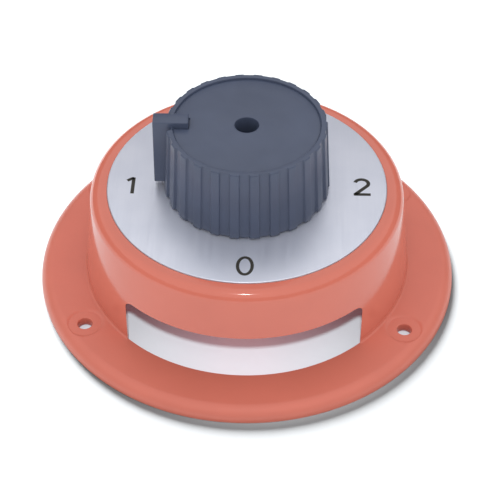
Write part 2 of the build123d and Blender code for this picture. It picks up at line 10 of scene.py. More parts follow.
import bmesh
import bpy
from mathutils import Matrix, Vector
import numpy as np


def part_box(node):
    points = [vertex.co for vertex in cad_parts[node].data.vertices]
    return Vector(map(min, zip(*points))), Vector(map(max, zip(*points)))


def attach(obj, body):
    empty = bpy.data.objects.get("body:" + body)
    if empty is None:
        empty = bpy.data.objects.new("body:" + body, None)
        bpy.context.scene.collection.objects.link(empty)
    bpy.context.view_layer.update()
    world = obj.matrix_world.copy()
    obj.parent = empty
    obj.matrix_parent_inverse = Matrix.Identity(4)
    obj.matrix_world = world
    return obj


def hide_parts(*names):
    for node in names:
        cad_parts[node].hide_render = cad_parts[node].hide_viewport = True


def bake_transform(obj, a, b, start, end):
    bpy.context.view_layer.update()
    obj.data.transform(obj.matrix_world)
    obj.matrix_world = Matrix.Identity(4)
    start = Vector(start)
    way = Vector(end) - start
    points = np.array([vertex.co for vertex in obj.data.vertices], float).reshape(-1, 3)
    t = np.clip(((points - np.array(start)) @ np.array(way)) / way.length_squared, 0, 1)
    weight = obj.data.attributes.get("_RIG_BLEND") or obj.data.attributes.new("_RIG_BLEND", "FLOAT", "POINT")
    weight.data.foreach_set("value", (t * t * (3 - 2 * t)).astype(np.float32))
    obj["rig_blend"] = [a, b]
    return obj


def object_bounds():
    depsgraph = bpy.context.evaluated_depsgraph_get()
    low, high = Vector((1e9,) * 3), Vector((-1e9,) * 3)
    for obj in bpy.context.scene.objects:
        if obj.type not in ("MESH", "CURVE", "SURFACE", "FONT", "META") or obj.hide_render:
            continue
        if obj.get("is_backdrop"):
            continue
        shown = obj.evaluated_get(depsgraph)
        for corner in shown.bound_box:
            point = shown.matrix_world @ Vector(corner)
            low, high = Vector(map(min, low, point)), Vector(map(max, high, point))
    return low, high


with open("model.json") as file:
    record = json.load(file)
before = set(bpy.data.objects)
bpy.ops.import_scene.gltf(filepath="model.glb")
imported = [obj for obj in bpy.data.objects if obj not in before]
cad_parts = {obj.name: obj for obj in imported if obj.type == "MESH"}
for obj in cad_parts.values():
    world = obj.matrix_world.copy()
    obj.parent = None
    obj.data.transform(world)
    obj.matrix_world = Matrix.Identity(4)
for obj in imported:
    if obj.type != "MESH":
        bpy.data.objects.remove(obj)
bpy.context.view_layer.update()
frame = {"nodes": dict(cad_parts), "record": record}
MM = 0.001
TAU = 2 * math.pi

# ---- sizes taken from the CAD model, in millimetres --------------------------------------------
DRUM_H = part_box("housing")[1].z / MM
KNOB_LOW, KNOB_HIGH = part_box("knob")
DIAL_LOW, DIAL_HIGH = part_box("dial_plate")

FLANGE_R = 67.5
FLANGE_T = 4.5
FLANGE_ROUND = 4.0
WALL_FOOT_R = 52.5
WALL_DRAFT = math.radians(6.5)
WALL_T = 2.8
DECK_UNDER = 32.2
DECK_BORE_R = 8.05        # the bush's bore
SHOULDER_ROUND = 3.4
DIAL_R = 43.9
DIAL_BORE_R = 8.1
DIAL_GAP = 0.03           # between the dial and its recess
DIAL_SEAT = DIAL_LOW.z / MM
DIAL_TOP = DIAL_HIGH.z / MM
WINDOW_HALF = 36.0
WINDOW_TOP = 19.0
WINDOW_CORNER = 2.5
WINDOW_SIDE_Y = -38.2     # where the window's sides meet the wall's outer face
WINDOW_FLARE = 0.06       # how fast the sides widen on the way in
WINDOW_EDGES_Y = (-53.5, -25.0)     # span in Y that holds the window's cut edges
HOLE_R = 2.25
SPOT_FACE_R = 5.7
SPOT_FACE_Z = 4.15
RELIEF_R = 5.5
RELIEF_TOP = 1.4
SCREW_PLACES = [(x, y) for x in (-50.0, 50.0) for y in (-32.0, 32.0)]
GUSSET_ANGLES = (0, 30, 60, 120, 150, 180)
GUSSET_REACH = 9.0
GUSSET_DROP = 11.0
GUSSET_HALF_T = 1.0
BOSS_CIRCLE_R = 30.0
BOSS_R = 4.0
BOSS_FOOT = 19.0
KNOB_FOOT = KNOB_LOW.z / MM
KNOB_TOP = KNOB_HIGH.z / MM

PAST = 1.0                # how far a cutting tool stands past the face it cuts
ROOT = 0.2                # how far a web or boss reaches into the deck
FINE = 288                # segments round the housing and the dial


# ---- mesh helpers ------------------------------------------------------------------------------
def new_object(name, bm, smooth_angle=35.0):
    """Object from a bmesh whose coordinates are in millimetres."""
    bmesh.ops.remove_doubles(bm, verts=bm.verts, dist=1e-4)
    bmesh.ops.recalc_face_normals(bm, faces=bm.faces)
    bm.transform(Matrix.Scale(MM, 4))
    mesh = bpy.data.meshes.new(name)
    bm.to_mesh(mesh)
    bm.free()
    obj = bpy.data.objects.new(name, mesh)
    bpy.context.scene.collection.objects.link(obj)
    shade(obj, smooth_angle)
    return obj


def shade(obj, angle):
    """Smooth shading, with edges sharper than the angle kept crisp."""
    bm = bmesh.new()
    bm.from_mesh(obj.data)
    limit = math.radians(angle)
    for face in bm.faces:
        face.smooth = True
    for edge in bm.edges:
        edge.smooth = len(edge.link_faces) == 2 and edge.calc_face_angle() < limit
    bm.to_mesh(obj.data)
    bm.free()


def apply_modifiers(obj):
    """Bakes an object's modifiers into its mesh."""
    depsgraph = bpy.context.evaluated_depsgraph_get()
    mesh = bpy.data.meshes.new_from_object(obj.evaluated_get(depsgraph))
    obj.modifiers.clear()
    old = obj.data
    obj.data = mesh
    mesh.name = old.name
    bpy.data.meshes.remove(old)


def combine(obj, tool, operation):
    """Boolean of two objects; the tool is used up."""
    boolean = obj.modifiers.new("cut", "BOOLEAN")
    boolean.operation = operation
    boolean.solver = "EXACT"
    boolean.object = tool
    apply_modifiers(obj)
    mesh = tool.data
    bpy.data.objects.remove(tool)
    bpy.data.meshes.remove(mesh)


def soften(obj, width, segments=2, angle=40.0):
    """Rounds every sharp edge by a small radius given in millimetres."""
    bevel = obj.modifiers.new("edges", "BEVEL")
    bevel.width = width * MM
    bevel.segments = segments
    bevel.limit_method = "ANGLE"
    bevel.angle_limit = math.radians(angle)
    bevel.use_clamp_overlap = True
    bevel.harden_normals = False
    apply_modifiers(obj)


def even_normals(obj):
    """Normals weighted by face area, so that small edge rounds leave broad faces evenly shaded."""
    weighted = obj.modifiers.new("normals", "WEIGHTED_NORMAL")
    weighted.keep_sharp = True
    weighted.weight = 50
    apply_modifiers(obj)


def join(obj, parts):
    """Adds the parts' meshes to the object's own."""
    bm = bmesh.new()
    bm.from_mesh(obj.data)
    for part in parts:
        bm.from_mesh(part.data)
        mesh = part.data
        bpy.data.objects.remove(part)
        bpy.data.meshes.remove(mesh)
    bm.to_mesh(obj.data)
    bm.free()


def shift(obj, place):
    """Moves an object's mesh to a place in X and Y."""
    obj.data.transform(Matrix.Translation((place[0] * MM, place[1] * MM, 0)))


def slab(bm, corners, by):
    """Closed solid in the bmesh: a flat face over the corners, pushed along a vector."""
    face = bm.faces.new([bm.verts.new(corner) for corner in corners])
    grown = bmesh.ops.extrude_face_region(bm, geom=[face])
    moved = [v for v in grown["geom"] if isinstance(v, bmesh.types.BMVert)]
    bmesh.ops.translate(bm, verts=moved, vec=by)


def bridge(bm, rings):
    """Faces between each ring of vertices and the next."""
    for lower, upper in zip(rings, rings[1:]):
        for k in range(len(lower)):
            n = (k + 1) % len(lower)
            bm.faces.new((lower[k], lower[n], upper[n], upper[k]))


def rounded(corners, steps=6):
    """Profile through (radius, height, fillet) corners, with each fillet drawn as an arc."""
    out = []
    count = len(corners)
    for i, (r, z, fillet) in enumerate(corners):
        here = Vector((r, z))
        if not fillet:
            out.append(here)
            continue
        before = (Vector(corners[i - 1][:2]) - here).normalized()
        after = (Vector(corners[(i + 1) % count][:2]) - here).normalized()
        half = before.angle(after) / 2
        centre = here + (before + after).normalized() * (fillet / math.sin(half))
        start = here + before * (fillet / math.tan(half))
        sweep = math.pi - 2 * half
        side = 1 if (start - centre).cross(-before) > 0 else -1
        for k in range(steps + 1):
            turn = Matrix.Rotation(side * sweep * k / steps, 2)
            out.append(centre + turn @ (start - centre))
    return out


def revolved(name, corners, around, steps=6):
    """Closed solid of revolution about +Z."""
    profile = rounded(corners, steps)
    bm = bmesh.new()
    rings = []
    for k in range(around):
        angle = TAU * k / around
        rings.append([
            bm.verts.new((p.x * math.cos(angle), p.x * math.sin(angle), p.y)) for p in profile
        ])
    for k in range(around):
        near, far = rings[k], rings[(k + 1) % around]
        for i in range(len(profile)):
            j = (i + 1) % len(profile)
            if max(profile[i].x, profile[j].x) > 0:
                bm.faces.new((near[i], far[i], far[j], near[j]))
    return new_object(name, bm)


def prism(name, outline, low, high):
    """Straight solid over a flat outline in X and Y, between two heights."""
    bm = bmesh.new()
    slab(bm, [(x, y, low) for x, y in outline], (0, 0, high - low))
    return new_object(name, bm)


def disc_outline(radius, count=48, centre=(0.0, 0.0)):
    """Corners of a regular polygon about a centre, the first towards +X."""
    return [
        (centre[0] + radius * math.cos(TAU * k / count), centre[1] + radius * math.sin(TAU * k / count))
        for k in range(count)
    ]


def arc_points(cx, cy, rx, ry, start, end, count):
    """Points on an ellipse's arc, angles in degrees from +X."""
    return [
        (cx + rx * math.cos(math.radians(start + (end - start) * k / count)),
         cy + ry * math.sin(math.radians(start + (end - start) * k / count)))
        for k in range(count + 1)
    ]


# ---- housing -----------------------------------------------------------------------------------
def wall_radius(height):
    """Radius of the drum's outer face at a height."""
    return WALL_FOOT_R - (height - FLANGE_T) * math.tan(WALL_DRAFT)


def window_cutter():
    """Cable window: a front outline with rounded top corners, trimmed to the drum's foot circle."""
    corner = WINDOW_HALF - WINDOW_CORNER, WINDOW_TOP - WINDOW_CORNER
    outline = [(-WINDOW_HALF, -PAST), (WINDOW_HALF, -PAST)]
    for side in (1, -1):
        arc = arc_points(corner[0], corner[1], WINDOW_CORNER, WINDOW_CORNER, 0, 90, 8)
        outline += [(side * x, z) for x, z in arc[::side]]
    behind_wall, before_wall = 25.0, 60.0
    cutter = prism("window_cutter", outline, behind_wall, before_wall)
    # the outline is drawn flat, so its third coordinate becomes the depth towards -Y
    for vertex in cutter.data.vertices:
        x, z, depth = vertex.co
        flare = 1 - WINDOW_FLARE * (depth + WINDOW_SIDE_Y * MM) / (WINDOW_HALF * MM)
        vertex.co = (x * flare, -depth, z)
    inner, outer, above = 20.0, WALL_FOOT_R + 2.0, 22.0
    foot, sill = WALL_FOOT_R + 0.02, FLANGE_T + 0.01     # a hair past the wall and the flange's top
    reach = revolved("window_reach", [
        (inner, -2 * PAST, 0),
        (foot, -2 * PAST, 0),
        (foot, sill, 0),
        (outer, sill, 0),
        (outer, above, 0),
        (inner, above, 0),
    ], around=FINE)
    combine(cutter, reach, "INTERSECT")
    return cutter


def hole_cutter(place):
    """Stepped drill for one screw hole: relief below, hole, and spot face with rounded mouths above."""
    drill = revolved("drill", [
        (0.0, -PAST, 0),
        (RELIEF_R + 0.2, -PAST, 0),
        (RELIEF_R, 0.2, 0),
        (RELIEF_R, RELIEF_TOP, 0),
        (HOLE_R, RELIEF_TOP, 0),
        (HOLE_R, SPOT_FACE_Z - 0.35, 0),
        (HOLE_R + 0.1, SPOT_FACE_Z - 0.13, 0),
        (HOLE_R + 0.35, SPOT_FACE_Z, 0),
        (SPOT_FACE_R - 0.5, SPOT_FACE_Z, 0.9),
        (SPOT_FACE_R + 0.35, FLANGE_T + 0.02, 0),
        (SPOT_FACE_R + 0.9, FLANGE_T + PAST, 0),
        (0.0, FLANGE_T + PAST, 0),
    ], around=96)
    shift(drill, place)
    return drill


def gusset(angle, root):
    """Stiffening web in the corner between the deck and the wall."""
    top = DECK_UNDER + ROOT
    side = [(root - GUSSET_REACH, top), (root, top), (root, DECK_UNDER - GUSSET_DROP)]
    bm = bmesh.new()
    slab(bm, [(r, -GUSSET_HALF_T, z) for r, z in side], (0, 2 * GUSSET_HALF_T, 0))
    bm.transform(Matrix.Rotation(math.radians(angle), 4, "Z"))
    return new_object("gusset", bm)


def make_housing():
    """Flange, drum wall and deck in one moulding, with gussets and bosses inside."""
    wall_in = WALL_T / math.cos(WALL_DRAFT)
    housing = revolved("housing_moulding", [
        (DECK_BORE_R, DECK_UNDER, 0),
        (wall_radius(DECK_UNDER) - wall_in, DECK_UNDER, 1.0),
        (wall_radius(0) - wall_in, 0, 0.3),
        (FLANGE_R, 0, 0.3),
        (FLANGE_R, FLANGE_T, FLANGE_ROUND),
        (WALL_FOOT_R, FLANGE_T, 0.8),
        (wall_radius(DRUM_H), DRUM_H, SHOULDER_ROUND),
        (DIAL_R + DIAL_GAP, DRUM_H, 0.12),
        (DIAL_R + DIAL_GAP, DIAL_SEAT, 0),
        (DECK_BORE_R, DIAL_SEAT, 0),
    ], around=FINE, steps=10)
    for place in SCREW_PLACES:
        combine(housing, hole_cutter(place), "DIFFERENCE")
    combine(housing, window_cutter(), "DIFFERENCE")
    soften_window(housing)

    # each gusset and boss is a closed solid rooted in the deck or the wall
    root = wall_radius(DECK_UNDER) - wall_in + 1.0
    parts = [gusset(angle, root) for angle in GUSSET_ANGLES]
    for k in range(3):
        angle = math.radians(90 + 120 * k)
        place = (BOSS_CIRCLE_R * math.cos(angle), BOSS_CIRCLE_R * math.sin(angle))
        parts.append(prism("boss", disc_outline(BOSS_R, 48, place), BOSS_FOOT, DECK_UNDER + ROOT))
    join(housing, parts)
    shade(housing, 38.0)
    even_normals(housing)
    return housing


def near_window(point):
    """Whether a point in metres lies in the block of space that holds the window's cut edges."""
    x, y, z = point / MM
    front, back = WINDOW_EDGES_Y
    return abs(x) < WINDOW_HALF + 3 and front < y < back and 0.1 < z < WINDOW_TOP + 0.1


def soften_window(housing):
    """Rounds the cut edges of the cable window and leaves the rest of the moulding as it is."""
    mesh = housing.data
    mesh.attributes.new("bevel_weight_edge", "FLOAT", "EDGE")
    bm = bmesh.new()
    bm.from_mesh(mesh)
    # slivers left by the cut would hold the bevel back, so they are merged first
    around_window = [v for v in bm.verts if near_window(v.co)]
    bmesh.ops.remove_doubles(bm, verts=around_window, dist=0.15 * MM)
    layer = bm.edges.layers.float["bevel_weight_edge"]
    for edge in bm.edges:
        near = near_window((edge.verts[0].co + edge.verts[1].co) / 2)
        sharp = len(edge.link_faces) == 2 and edge.calc_face_angle() > math.radians(50)
        edge[layer] = 1.0 if near and sharp else 0.0
    bm.to_mesh(mesh)
    bm.free()
    bevel = housing.modifiers.new("edges", "BEVEL")
    bevel.width = 0.3 * MM
    bevel.segments = 3
    bevel.limit_method = "WEIGHT"
    bevel.use_clamp_overlap = True
    apply_modifiers(housing)


# ---- knob --------------------------------------------------------------------------------------
RIBS = 26
RIB_DEPTH = 0.6
RIM_Z = 59.8
RIM_ROUND = 0.5
DISC_Z = 59.1
DISC_R = 22.5
KNOB_FOOT_R = 25.9
KNOB_TOP_R = 24.5
CAP_UNDER = 56.8          # the cap's inner face
HUB_R = 8.6
INSERT_R = 6.25
INSERT_TOP = 49.45
HUB_FOOT = 43.5
WELL_R = 3.65
WELL_Z = 51.4             # seat of the screw's head
SCREW_HOLE_R = 2.2
POINTER_HALF = 2.4
POINTER_IN_R = 17.6
POINTER_ROOT_R = 22.4
POINTER_FOOT = 37.7
SLOT_GAP = 0.35           # between the pointer's bar and the disc round it
# half a rib and half a groove: (share of the pitch from the rib's middle, height from 0 to 1)
RIB_SHAPE = [
    (0.0, 1.0), (0.08, 1.0), (0.15, 1.0), (0.195, 1.0), (0.218, 0.95), (0.230, 0.78),
    (0.252, 0.10), (0.266, 0.0), (0.30, 0.0), (0.36, 0.0), (0.43, 0.0), (0.5, 0.0),
]


def rib_angles():
    """Angles round the knob, each with the skirt's height there as a share of a rib's depth."""
    half = RIB_SHAPE + [(1 - off, share) for off, share in RIB_SHAPE[-2:0:-1]]
    return [((k + off) * TAU / RIBS, share) for k in range(RIBS) for off, share in half]


def beside_pointer(angle):
    """Whether a groove runs there along the foot of the pointer's fin."""
    off = abs(angle - math.pi)
    return math.radians(5.0) < off < math.radians(9.8)


def skirt_rows():
    """Rows of the ribbed skirt from the foot up: height, how far in, depth of the grooves."""
    low, high = KNOB_FOOT + 0.35, RIM_Z - RIM_ROUND
    rows = [
        (KNOB_FOOT, 0.35, RIB_DEPTH), (KNOB_FOOT + 0.12, 0.1, RIB_DEPTH), (low, 0.0, RIB_DEPTH),
    ]
    rows += [(low + (high - low) * k / 12, 0.0, RIB_DEPTH) for k in range(1, 13)]
    for k in range(1, 6):
        turn = math.pi / 2 * k / 5
        inset = RIM_ROUND * (1 - math.cos(turn))
        rows.append((high + RIM_ROUND * math.sin(turn), inset, RIB_DEPTH - inset))
    return rows


def make_knob():
    """Ribbed cap with its hub, and the pointer bar that turns down its side as a fin."""
    def tip(z):
        return KNOB_FOOT_R + (KNOB_TOP_R - KNOB_FOOT_R) * (z - KNOB_FOOT) / (RIM_Z - KNOB_FOOT)

    around = rib_angles()
    bm = bmesh.new()
    rings = []
    for z, inset, depth in skirt_rows():
        ring = []
        for angle, share in around:
            groove = 1.0 if beside_pointer(angle) else 0.0
            r = tip(z) - inset - max(depth, 0.1) * (1 - share) - groove
            ring.append(bm.verts.new((r * math.cos(angle), r * math.sin(angle), z)))
        rings.append(ring)
    inner = [
        # rim land and the step down to the disc, with a fine crease at its foot
        (DISC_R + 0.25, RIM_Z), (DISC_R + 0.12, RIM_Z - 0.03), (DISC_R + 0.05, RIM_Z - 0.12),
        (DISC_R, DISC_Z - 0.1), (DISC_R - 0.15, DISC_Z - 0.1), (DISC_R - 0.22, DISC_Z - 0.03),
        # disc and the rounded mouth of the screw's well
        (22.1, DISC_Z), (18.0, DISC_Z), (11.0, DISC_Z), (4.4, DISC_Z), (4.0, DISC_Z),
        (3.8, DISC_Z - 0.04), (3.68, DISC_Z - 0.14), (WELL_R, DISC_Z - 0.3),
        # well, screw hole, room for the insert, hub, and the inside of cap and skirt
        (WELL_R, WELL_Z), (SCREW_HOLE_R, WELL_Z), (SCREW_HOLE_R, INSERT_TOP), (INSERT_R, INSERT_TOP),
        (INSERT_R, HUB_FOOT), (HUB_R, HUB_FOOT), (HUB_R, CAP_UNDER), (20.8, CAP_UNDER),
        (21.6, KNOB_FOOT),
    ]
    for r, z in inner:
        rings.append([
            bm.verts.new((r * math.cos(angle), r * math.sin(angle), z)) for angle, _ in around
        ])
    rings.append(rings[0])
    bridge(bm, rings)
    knob = new_object("knob_cap", bm, 30.0)

    # a fine slot round the pointer's bar, then the bar
    slot_low, slot_high = DISC_Z - 0.5, 70.0
    slot_in, slot_out = POINTER_IN_R - SLOT_GAP, 22.0
    slot_side = [
        (slot_in, slot_low), (slot_in, slot_high), (slot_out, slot_high), (slot_out, slot_low),
    ]
    combine(knob, upright("pointer_slot", slot_side, POINTER_HALF + SLOT_GAP), "DIFFERENCE")
    pointer = upright("pointer_bar", [
        (POINTER_IN_R, DISC_Z - 1.0), (POINTER_IN_R, KNOB_TOP), (28.4, KNOB_TOP),
        (28.8, POINTER_FOOT), (POINTER_ROOT_R, POINTER_FOOT), (POINTER_ROOT_R, DISC_Z - 1.0),
    ], POINTER_HALF)
    soften(pointer, 0.3, segments=3)
    combine(knob, pointer, "UNION")
    shade(knob, 40.0)
    return knob


def upright(name, side, half_width):
    """Slab in the knob's -X half, over a side outline of (radius, height) corners."""
    bm = bmesh.new()
    slab(bm, [(-r, -half_width, z) for r, z in side], (0, 2 * half_width, 0))
    return new_object(name, bm)


# ---- terminal hardware -------------------------------------------------------------------------
STUD_CIRCLE_R = 26.0
STUD_ANGLES = {"stud_2": 30, "stud_1": 150, "stud_common": 270}
STUD_R = 4.0
STUD_HEAD_ACROSS = 12.0
STUD_POINT = 0.8          # chamfer at the stud's lower end
NUT_ACROSS = 13.0
NUT_BORE_R = STUD_R + 0.05
COUNTERSINK = 1.5
CHAMFER_IN = 0.15         # how far inside the flats a hexagon's chamfer starts
THREAD_PITCH = 1.25
THREAD_DEPTH = 0.6
THREAD_HALF = 0.44        # half of a groove's width, as a share of the pitch
THREAD_TOP = 14.95        # the thread stops at the base's underside
CONTACT_TOP = 20.5


def stud_place(angle):
    """Place of the stud at an angle in degrees."""
    turn = math.radians(angle)
    return STUD_CIRCLE_R * math.cos(turn), STUD_CIRCLE_R * math.sin(turn)


def chamfered_hex(name, across, low, high, centre, both=True):
    """Hexagonal head or nut blank with its corners turned down at 30 degrees, at one end or both."""
    corner = across / math.sqrt(3)
    blank = prism(name, disc_outline(corner, 6, centre), low, high)
    drop = (corner - across / 2 + CHAMFER_IN) * math.tan(math.radians(30))
    foot = across / 2 - CHAMFER_IN if both else corner + 1.0
    turned = revolved("turned", [
        (0.0, low, 0),
        (foot, low, 0),
        (corner + 0.01, low + drop, 0),
        (corner + 0.01, high - drop, 0),
        (across / 2 - CHAMFER_IN, high, 0),
        (0.0, high, 0),
    ], around=96)
    shift(turned, centre)
    combine(blank, turned, "INTERSECT")
    return blank


def make_nuts(name, node):
    """Three hexagonal nuts on the studs, each with a countersunk bore."""
    low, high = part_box(node)[0].z / MM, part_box(node)[1].z / MM
    nuts = []
    for angle in STUD_ANGLES.values():
        centre = stud_place(angle)
        nut = chamfered_hex("nut", NUT_ACROSS, low, high, centre)
        bore = revolved("bore", [
            (0.0, low - PAST, 0),
            (NUT_BORE_R + COUNTERSINK, low - PAST, 0),
            (NUT_BORE_R, low + 0.5, 0),
            (NUT_BORE_R, high - 0.5, 0),
            (NUT_BORE_R + COUNTERSINK, high + PAST, 0),
            (0.0, high + PAST, 0),
        ], around=64)
        shift(bore, centre)
        combine(nut, bore, "DIFFERENCE")
        nuts.append(nut)
    first = nuts[0]
    join(first, nuts[1:])
    first.name = name
    shade(first, 30.0)
    return first


def make_stud(name, node, angle):
    """Terminal stud: helical thread below the base, plain shank through it, hexagonal head on top."""
    low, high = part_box(node)[0].z / MM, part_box(node)[1].z / MM
    centre = stud_place(angle)
    around, steps = 48, 8     # sides of the stud, and rows to a turn of the thread
    bm = bmesh.new()

    def ring(z, radius):
        return [
            bm.verts.new((centre[0] + radius(k) * math.cos(TAU * k / around),
                          centre[1] + radius(k) * math.sin(TAU * k / around), z))
            for k in range(around)
        ]

    def thread(z):
        """Radius by side number at a height: groove, run-out at the top and point at the foot."""
        def radius(k):
            turn = (z / THREAD_PITCH - k / around) % 1.0
            depth = THREAD_DEPTH * max(0.0, 1 - abs(turn - 0.5) / THREAD_HALF)
            runout = min(1.0, (THREAD_TOP - z) / THREAD_PITCH)
            return min(STUD_R - depth * runout, STUD_R - STUD_POINT + (z - low))
        return radius

    rows = int((THREAD_TOP - low) / THREAD_PITCH * steps)
    heights = [low + (THREAD_TOP - low) * row / rows for row in range(rows + 1)]
    rings = [ring(z, thread(z)) for z in heights]
    rings.append(ring(CONTACT_TOP + 0.5, lambda k: STUD_R))
    bridge(bm, rings)
    bm.faces.new(rings[0][::-1])
    bm.faces.new(rings[-1])
    stud = new_object(name, bm, 50.0)
    join(stud, [chamfered_hex("head", STUD_HEAD_ACROSS, CONTACT_TOP, high, centre, both=False)])
    shade(stud, 34.0)
    return stud


# ---- detent springs ----------------------------------------------------------------------------
SPRING_R = 1.45
SPRING_WIRE_R = 0.25
SPRING_TURNS = 3.5


def make_spring(name, node):
    """Coil spring of round wire between the bottom and the top of its node's box."""
    low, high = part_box(node)
    middle = (low + high) / (2 * MM)
    bottom = low.z / MM + SPRING_WIRE_R
    length = (high.z - low.z) / MM - 2 * SPRING_WIRE_R
    rise = length / (TAU * SPRING_TURNS * SPRING_R)
    bm = bmesh.new()
    steps, sides = 112, 10
    rings = []
    for k in range(steps + 1):
        turn = TAU * SPRING_TURNS * k / steps
        out = Vector((math.cos(turn), math.sin(turn), 0))
        along = Vector((-math.sin(turn), math.cos(turn), rise)).normalized()
        up = out.cross(along)
        centre = Vector((middle.x, middle.y, bottom + length * k / steps)) + out * SPRING_R
        ring = []
        for i in range(sides):
            lean = TAU * i / sides
            ring.append(bm.verts.new(centre + (out * math.cos(lean) + up * math.sin(lean)) * SPRING_WIRE_R))
        rings.append(ring)
    bridge(bm, rings)
    bm.faces.new(rings[0][::-1])
    bm.faces.new(rings[-1])
    return new_object(name, bm, 50.0)


# ---- dial plate and its numerals ---------------------------------------------------------------
def make_dial():
    """Sheet plate with a softened outer edge."""
    return revolved("dial_face", [
        (DIAL_BORE_R, DIAL_SEAT, 0),
        (DIAL_R, DIAL_SEAT, 0),
        (DIAL_R, DIAL_TOP, 0.35),
        (DIAL_BORE_R, DIAL_TOP, 0),
    ], around=FINE)


def stroke(bm, points, width, low, high, closed=False):
    """Flat printed stroke of one width along a line of points."""
    pts = [Vector(p) for p in points]
    count = len(pts)
    left, right = [], []
    for i, p in enumerate(pts):
        before = pts[i - 1] if (i or closed) else p
        after = pts[(i + 1) % count] if (i < count - 1 or closed) else p
        a = (p - before).normalized() if before != p else (after - p).normalized()
        b = (after - p).normalized() if after != p else a
        middle = (a + b).normalized()
        normal = Vector((-middle.y, middle.x))
        reach = width / 2 / max(0.5, normal.dot(Vector((-a.y, a.x))))
        left.append(p + normal * reach)
        right.append(p - normal * reach)
    left_low, left_high, right_low, right_high = [
        [bm.verts.new((q.x, q.y, z)) for q in line] for line in (left, right) for z in (low, high)
    ]
    for i in range(count if closed else count - 1):
        j = (i + 1) % count
        bm.faces.new((left_high[i], right_high[i], right_high[j], left_high[j]))
        bm.faces.new((left_low[j], right_low[j], right_low[i], left_low[i]))
        bm.faces.new((left_low[i], left_high[i], left_high[j], left_low[j]))
        bm.faces.new((right_low[j], right_high[j], right_high[i], right_low[i]))
    if not closed:
        bm.faces.new((left_low[0], right_low[0], right_high[0], left_high[0]))
        bm.faces.new((left_high[-1], right_high[-1], right_low[-1], left_low[-1]))


def numeral_paths(sign):
    """Stroke lines of one sign and whether each is closed, in a box 1 high whose foot is at 0."""
    if sign == "0":
        return [(arc_points(0, 0.5, 0.264, 0.433, 90, 450, 48)[:-1], True)]
    if sign == "1":
        flag, stem = [(-0.17, 0.80), (0.0, 0.93), (0.10, 0.965)], [(0.085, 0.0), (0.085, 1.0)]
        return [(flag, False), (stem, False)]
    if sign == "2":
        bow = arc_points(0.0, 0.70, 0.262, 0.24, 165, -35, 24)
        return [(bow + [(-0.27, 0.065)], False), ([(-0.33, 0.06), (0.33, 0.06)], False)]
    return [([(-0.2, 0.45), (0.2, 0.45)], False), ([(0.0, 0.25), (0.0, 0.65)], False)]


def make_numerals():
    """Position marks printed on the dial: 1 left, 0 front, 2 right, both batteries at the back."""
    bm = bmesh.new()
    low, high = DIAL_TOP - 0.02, DIAL_TOP + 0.03
    # sign, middle in X and Y, height, width of the stroke
    marks = [
        ("1", -36.3, -2.0, 7.5, 1.12), ("2", 36.0, -0.9, 8.0, 1.16), ("0", 0.4, -36.9, 8.2, 0.98),
        ("1", -5.6, 34.8, 7.0, 1.1), ("+", 0.0, 34.8, 7.0, 0.9), ("2", 5.6, 34.8, 7.0, 1.0),
    ]
    for sign, x, y, height, width in marks:
        for points, closed in numeral_paths(sign):
            placed = [(x + px * height, y + (py - 0.5) * height) for px, py in points]
            stroke(bm, placed, width, low, high, closed)
    return new_object("dial_numerals", bm, 30.0)


